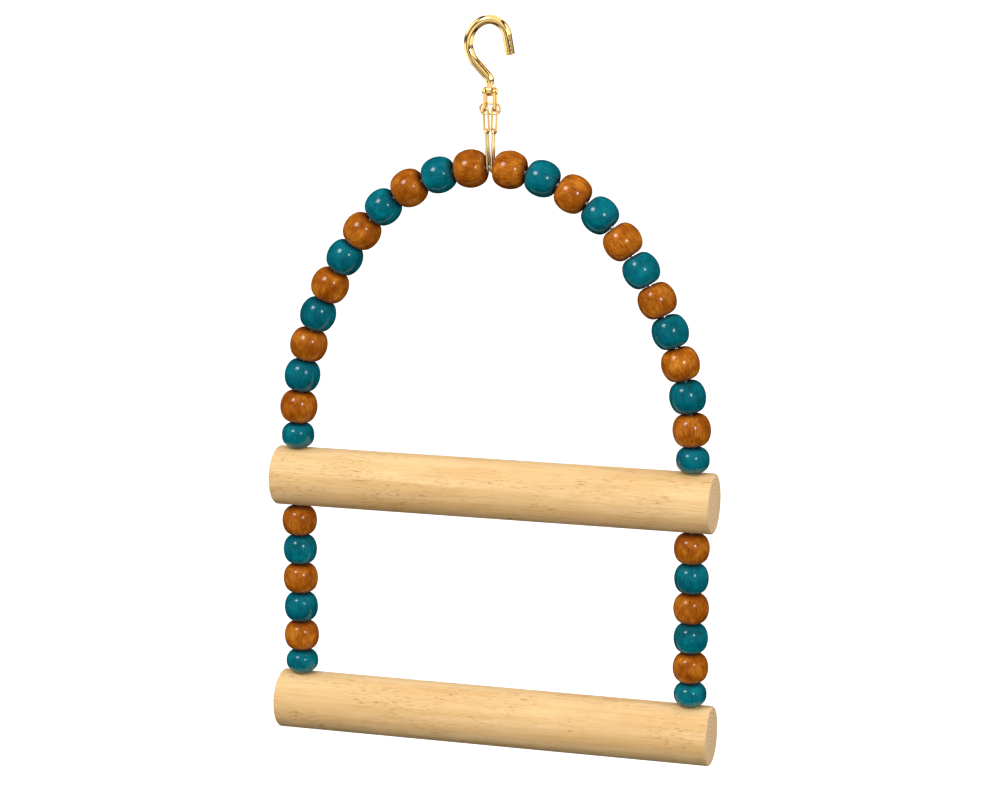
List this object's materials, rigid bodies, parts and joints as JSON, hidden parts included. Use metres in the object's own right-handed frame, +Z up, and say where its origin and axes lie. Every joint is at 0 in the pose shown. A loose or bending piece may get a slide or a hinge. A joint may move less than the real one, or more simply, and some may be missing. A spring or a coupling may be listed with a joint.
{
  "type": "bird swing",
  "caption": "Hanging cage swing: a wire arch threaded with round wooden beads carries two dowel perches and hangs by a double chain from an open hook.",
  "frame": {"origin": "saddle of the hook: the inside of its crown, where it sits on a bar", "axes": "+Z up, +X along the perches, Y across the plane of the arch"},
  "size_m": [0.1926, 0.0254, 0.3134],
  "materials": {
    "brass": "polished brass plate",
    "pale_brass": "thin polished brass plate on steel",
    "steel_wire": "drawn steel wire",
    "perch_wood": "smooth sanded bare wood",
    "brown_bead": "brown stain under gloss varnish",
    "teal_bead": "teal stain under gloss varnish"
  },
  "bodies": {
    "hook": {"hook": "brass"},
    "hook_pin": {"hook_pin": "brass"},
    "tie_ring": {"tie_ring": "brass"},
    "upper_links": {"left_link_1": "brass", "right_link_1": "brass"},
    "middle_links": {"left_link_2": "brass", "right_link_2": "brass"},
    "wire_links": {"left_link_3": "pale_brass", "right_link_3": "pale_brass"},
    "arch": {"arch_wire": "steel_wire", "upper_perch": "perch_wood", "lower_perch": "perch_wood"},
    "left_arch_bead_12": {"left_arch_bead_12": "teal_bead"},
    "left_arch_bead_11": {"left_arch_bead_11": "brown_bead"},
    "left_arch_bead_10": {"left_arch_bead_10": "teal_bead"},
    "left_arch_bead_09": {"left_arch_bead_09": "brown_bead"},
    "left_arch_bead_08": {"left_arch_bead_08": "teal_bead"},
    "left_arch_bead_07": {"left_arch_bead_07": "brown_bead"},
    "left_arch_bead_06": {"left_arch_bead_06": "teal_bead"},
    "left_arch_bead_05": {"left_arch_bead_05": "brown_bead"},
    "left_arch_bead_04": {"left_arch_bead_04": "teal_bead"},
    "left_arch_bead_03": {"left_arch_bead_03": "brown_bead"},
    "left_arch_bead_02": {"left_arch_bead_02": "teal_bead"},
    "left_arch_bead_01": {"left_arch_bead_01": "brown_bead"},
    "left_lower_bead_6": {"left_lower_bead_6": "teal_bead"},
    "left_lower_bead_5": {"left_lower_bead_5": "brown_bead"},
    "left_lower_bead_4": {"left_lower_bead_4": "teal_bead"},
    "left_lower_bead_3": {"left_lower_bead_3": "brown_bead"},
    "left_lower_bead_2": {"left_lower_bead_2": "teal_bead"},
    "left_lower_bead_1": {"left_lower_bead_1": "brown_bead"},
    "right_arch_bead_12": {"right_arch_bead_12": "teal_bead"},
    "right_arch_bead_11": {"right_arch_bead_11": "brown_bead"},
    "right_arch_bead_10": {"right_arch_bead_10": "teal_bead"},
    "right_arch_bead_09": {"right_arch_bead_09": "brown_bead"},
    "right_arch_bead_08": {"right_arch_bead_08": "teal_bead"},
    "right_arch_bead_07": {"right_arch_bead_07": "brown_bead"},
    "right_arch_bead_06": {"right_arch_bead_06": "teal_bead"},
    "right_arch_bead_05": {"right_arch_bead_05": "brown_bead"},
    "right_arch_bead_04": {"right_arch_bead_04": "teal_bead"},
    "right_arch_bead_03": {"right_arch_bead_03": "brown_bead"},
    "right_arch_bead_02": {"right_arch_bead_02": "teal_bead"},
    "right_arch_bead_01": {"right_arch_bead_01": "brown_bead"},
    "right_lower_bead_6": {"right_lower_bead_6": "teal_bead"},
    "right_lower_bead_5": {"right_lower_bead_5": "brown_bead"},
    "right_lower_bead_4": {"right_lower_bead_4": "teal_bead"},
    "right_lower_bead_3": {"right_lower_bead_3": "brown_bead"},
    "right_lower_bead_2": {"right_lower_bead_2": "teal_bead"},
    "right_lower_bead_1": {"right_lower_bead_1": "brown_bead"}
  },
  "joints": [
    {"name": "sway", "type": "hinge", "parent": "hook", "child": "hook_pin", "pos_m": [0, 0, -0.02741], "axis": [0, 1, 0], "range_deg": [-8, 8]},
    {"name": "upper_links_swing", "type": "hinge", "parent": "hook_pin", "child": "upper_links", "pos_m": [0, 0, -0.02741], "axis": [1, 0, 0], "range_deg": [-40, 40]},
    {"name": "middle_links_swing", "type": "hinge", "parent": "upper_links", "child": "middle_links", "pos_m": [0, 0, -0.03456], "axis": [1, 0, 0], "range_deg": [-15, 15]},
    {"name": "tie_ring_swing", "type": "hinge", "parent": "middle_links", "child": "tie_ring", "pos_m": [0, 0, -0.03456], "axis": [1, 0, 0], "range_deg": [-2.5, 2.5]},
    {"name": "wire_links_swing", "type": "hinge", "parent": "middle_links", "child": "wire_links", "pos_m": [0, 0, -0.04385], "axis": [1, 0, 0], "range_deg": [-15, 15]},
    {"name": "arch_swing", "type": "hinge", "parent": "wire_links", "child": "arch", "pos_m": [0, 0, -0.05908], "axis": [1, 0, 0], "range_deg": [-30, 30]},
    {"name": "left_arch_bead_12_spin", "type": "hinge", "parent": "arch", "child": "left_arch_bead_12", "pos_m": [-0.0869, 0, -0.17749], "axis": [0.0062, 0, 1], "continuous": true},
    {"name": "left_arch_bead_11_spin", "type": "hinge", "parent": "arch", "child": "left_arch_bead_11", "pos_m": [-0.08629, 0, -0.16494], "axis": [0.0896, 0, 0.996], "continuous": true},
    {"name": "left_arch_bead_10_spin", "type": "hinge", "parent": "arch", "child": "left_arch_bead_10", "pos_m": [-0.08439, 0, -0.15109], "axis": [0.1817, 0, 0.9834], "continuous": true},
    {"name": "left_arch_bead_09_spin", "type": "hinge", "parent": "arch", "child": "left_arch_bead_09", "pos_m": [-0.08122, 0, -0.13747], "axis": [0.2722, 0, 0.9622], "continuous": true},
    {"name": "left_arch_bead_08_spin", "type": "hinge", "parent": "arch", "child": "left_arch_bead_08", "pos_m": [-0.07679, 0, -0.1242], "axis": [0.3603, 0, 0.9328], "continuous": true},
    {"name": "left_arch_bead_07_spin", "type": "hinge", "parent": "arch", "child": "left_arch_bead_07", "pos_m": [-0.07115, 0, -0.11141], "axis": [0.4453, 0, 0.8954], "continuous": true},
    {"name": "left_arch_bead_06_spin", "type": "hinge", "parent": "arch", "child": "left_arch_bead_06", "pos_m": [-0.06435, 0, -0.09919], "axis": [0.5265, 0, 0.8502], "continuous": true},
    {"name": "left_arch_bead_05_spin", "type": "hinge", "parent": "arch", "child": "left_arch_bead_05", "pos_m": [-0.05644, 0, -0.08765], "axis": [0.6032, 0, 0.7976], "continuous": true},
    {"name": "left_arch_bead_04_spin", "type": "hinge", "parent": "arch", "child": "left_arch_bead_04", "pos_m": [-0.04686, 0, -0.07708], "axis": [0.7429, 0, 0.6694], "continuous": true},
    {"name": "left_arch_bead_03_spin", "type": "hinge", "parent": "arch", "child": "left_arch_bead_03", "pos_m": [-0.03533, 0, -0.06865], "axis": [0.8633, 0, 0.5048], "continuous": true},
    {"name": "left_arch_bead_02_spin", "type": "hinge", "parent": "arch", "child": "left_arch_bead_02", "pos_m": [-0.02234, 0, -0.06274], "axis": [0.9477, 0, 0.3192], "continuous": true},
    {"name": "left_arch_bead_01_spin", "type": "hinge", "parent": "arch", "child": "left_arch_bead_01", "pos_m": [-0.00842, 0, -0.05959], "axis": [0.9927, 0, 0.1203], "continuous": true},
    {"name": "left_lower_bead_6_spin", "type": "hinge", "parent": "arch", "child": "left_lower_bead_6", "pos_m": [-0.0869, 0, -0.27887], "axis": [0, 0, 1], "continuous": true},
    {"name": "left_lower_bead_5_spin", "type": "hinge", "parent": "arch", "child": "left_lower_bead_5", "pos_m": [-0.0869, 0, -0.26724], "axis": [0, 0, 1], "continuous": true},
    {"name": "left_lower_bead_4_spin", "type": "hinge", "parent": "arch", "child": "left_lower_bead_4", "pos_m": [-0.0869, 0, -0.25429], "axis": [0, 0, 1], "continuous": true},
    {"name": "left_lower_bead_3_spin", "type": "hinge", "parent": "arch", "child": "left_lower_bead_3", "pos_m": [-0.0869, 0, -0.24134], "axis": [0, 0, 1], "continuous": true},
    {"name": "left_lower_bead_2_spin", "type": "hinge", "parent": "arch", "child": "left_lower_bead_2", "pos_m": [-0.0869, 0, -0.22839], "axis": [0, 0, 1], "continuous": true},
    {"name": "left_lower_bead_1_spin", "type": "hinge", "parent": "arch", "child": "left_lower_bead_1", "pos_m": [-0.0869, 0, -0.21544], "axis": [0, 0, 1], "continuous": true},
    {"name": "right_arch_bead_12_spin", "type": "hinge", "parent": "arch", "child": "right_arch_bead_12", "pos_m": [0.0869, 0, -0.17749], "axis": [-0.0062, 0, 1], "continuous": true},
    {"name": "right_arch_bead_11_spin", "type": "hinge", "parent": "arch", "child": "right_arch_bead_11", "pos_m": [0.08629, 0, -0.16494], "axis": [-0.0896, 0, 0.996], "continuous": true},
    {"name": "right_arch_bead_10_spin", "type": "hinge", "parent": "arch", "child": "right_arch_bead_10", "pos_m": [0.08439, 0, -0.15109], "axis": [-0.1817, 0, 0.9834], "continuous": true},
    {"name": "right_arch_bead_09_spin", "type": "hinge", "parent": "arch", "child": "right_arch_bead_09", "pos_m": [0.08122, 0, -0.13747], "axis": [-0.2722, 0, 0.9622], "continuous": true},
    {"name": "right_arch_bead_08_spin", "type": "hinge", "parent": "arch", "child": "right_arch_bead_08", "pos_m": [0.07679, 0, -0.1242], "axis": [-0.3603, 0, 0.9328], "continuous": true},
    {"name": "right_arch_bead_07_spin", "type": "hinge", "parent": "arch", "child": "right_arch_bead_07", "pos_m": [0.07115, 0, -0.11141], "axis": [-0.4453, 0, 0.8954], "continuous": true},
    {"name": "right_arch_bead_06_spin", "type": "hinge", "parent": "arch", "child": "right_arch_bead_06", "pos_m": [0.06435, 0, -0.09919], "axis": [-0.5265, 0, 0.8502], "continuous": true},
    {"name": "right_arch_bead_05_spin", "type": "hinge", "parent": "arch", "child": "right_arch_bead_05", "pos_m": [0.05644, 0, -0.08765], "axis": [-0.6032, 0, 0.7976], "continuous": true},
    {"name": "right_arch_bead_04_spin", "type": "hinge", "parent": "arch", "child": "right_arch_bead_04", "pos_m": [0.04686, 0, -0.07708], "axis": [-0.7429, 0, 0.6694], "continuous": true},
    {"name": "right_arch_bead_03_spin", "type": "hinge", "parent": "arch", "child": "right_arch_bead_03", "pos_m": [0.03533, 0, -0.06865], "axis": [-0.8633, 0, 0.5048], "continuous": true},
    {"name": "right_arch_bead_02_spin", "type": "hinge", "parent": "arch", "child": "right_arch_bead_02", "pos_m": [0.02234, 0, -0.06274], "axis": [-0.9477, 0, 0.3192], "continuous": true},
    {"name": "right_arch_bead_01_spin", "type": "hinge", "parent": "arch", "child": "right_arch_bead_01", "pos_m": [0.00842, 0, -0.05959], "axis": [-0.9927, 0, 0.1203], "continuous": true},
    {"name": "right_lower_bead_6_spin", "type": "hinge", "parent": "arch", "child": "right_lower_bead_6", "pos_m": [0.0869, 0, -0.27887], "axis": [0, 0, 1], "continuous": true},
    {"name": "right_lower_bead_5_spin", "type": "hinge", "parent": "arch", "child": "right_lower_bead_5", "pos_m": [0.0869, 0, -0.26724], "axis": [0, 0, 1], "continuous": true},
    {"name": "right_lower_bead_4_spin", "type": "hinge", "parent": "arch", "child": "right_lower_bead_4", "pos_m": [0.0869, 0, -0.25429], "axis": [0, 0, 1], "continuous": true},
    {"name": "right_lower_bead_3_spin", "type": "hinge", "parent": "arch", "child": "right_lower_bead_3", "pos_m": [0.0869, 0, -0.24134], "axis": [0, 0, 1], "continuous": true},
    {"name": "right_lower_bead_2_spin", "type": "hinge", "parent": "arch", "child": "right_lower_bead_2", "pos_m": [0.0869, 0, -0.22839], "axis": [0, 0, 1], "continuous": true},
    {"name": "right_lower_bead_1_spin", "type": "hinge", "parent": "arch", "child": "right_lower_bead_1", "pos_m": [0.0869, 0, -0.21544], "axis": [0, 0, 1], "continuous": true}
  ]
}
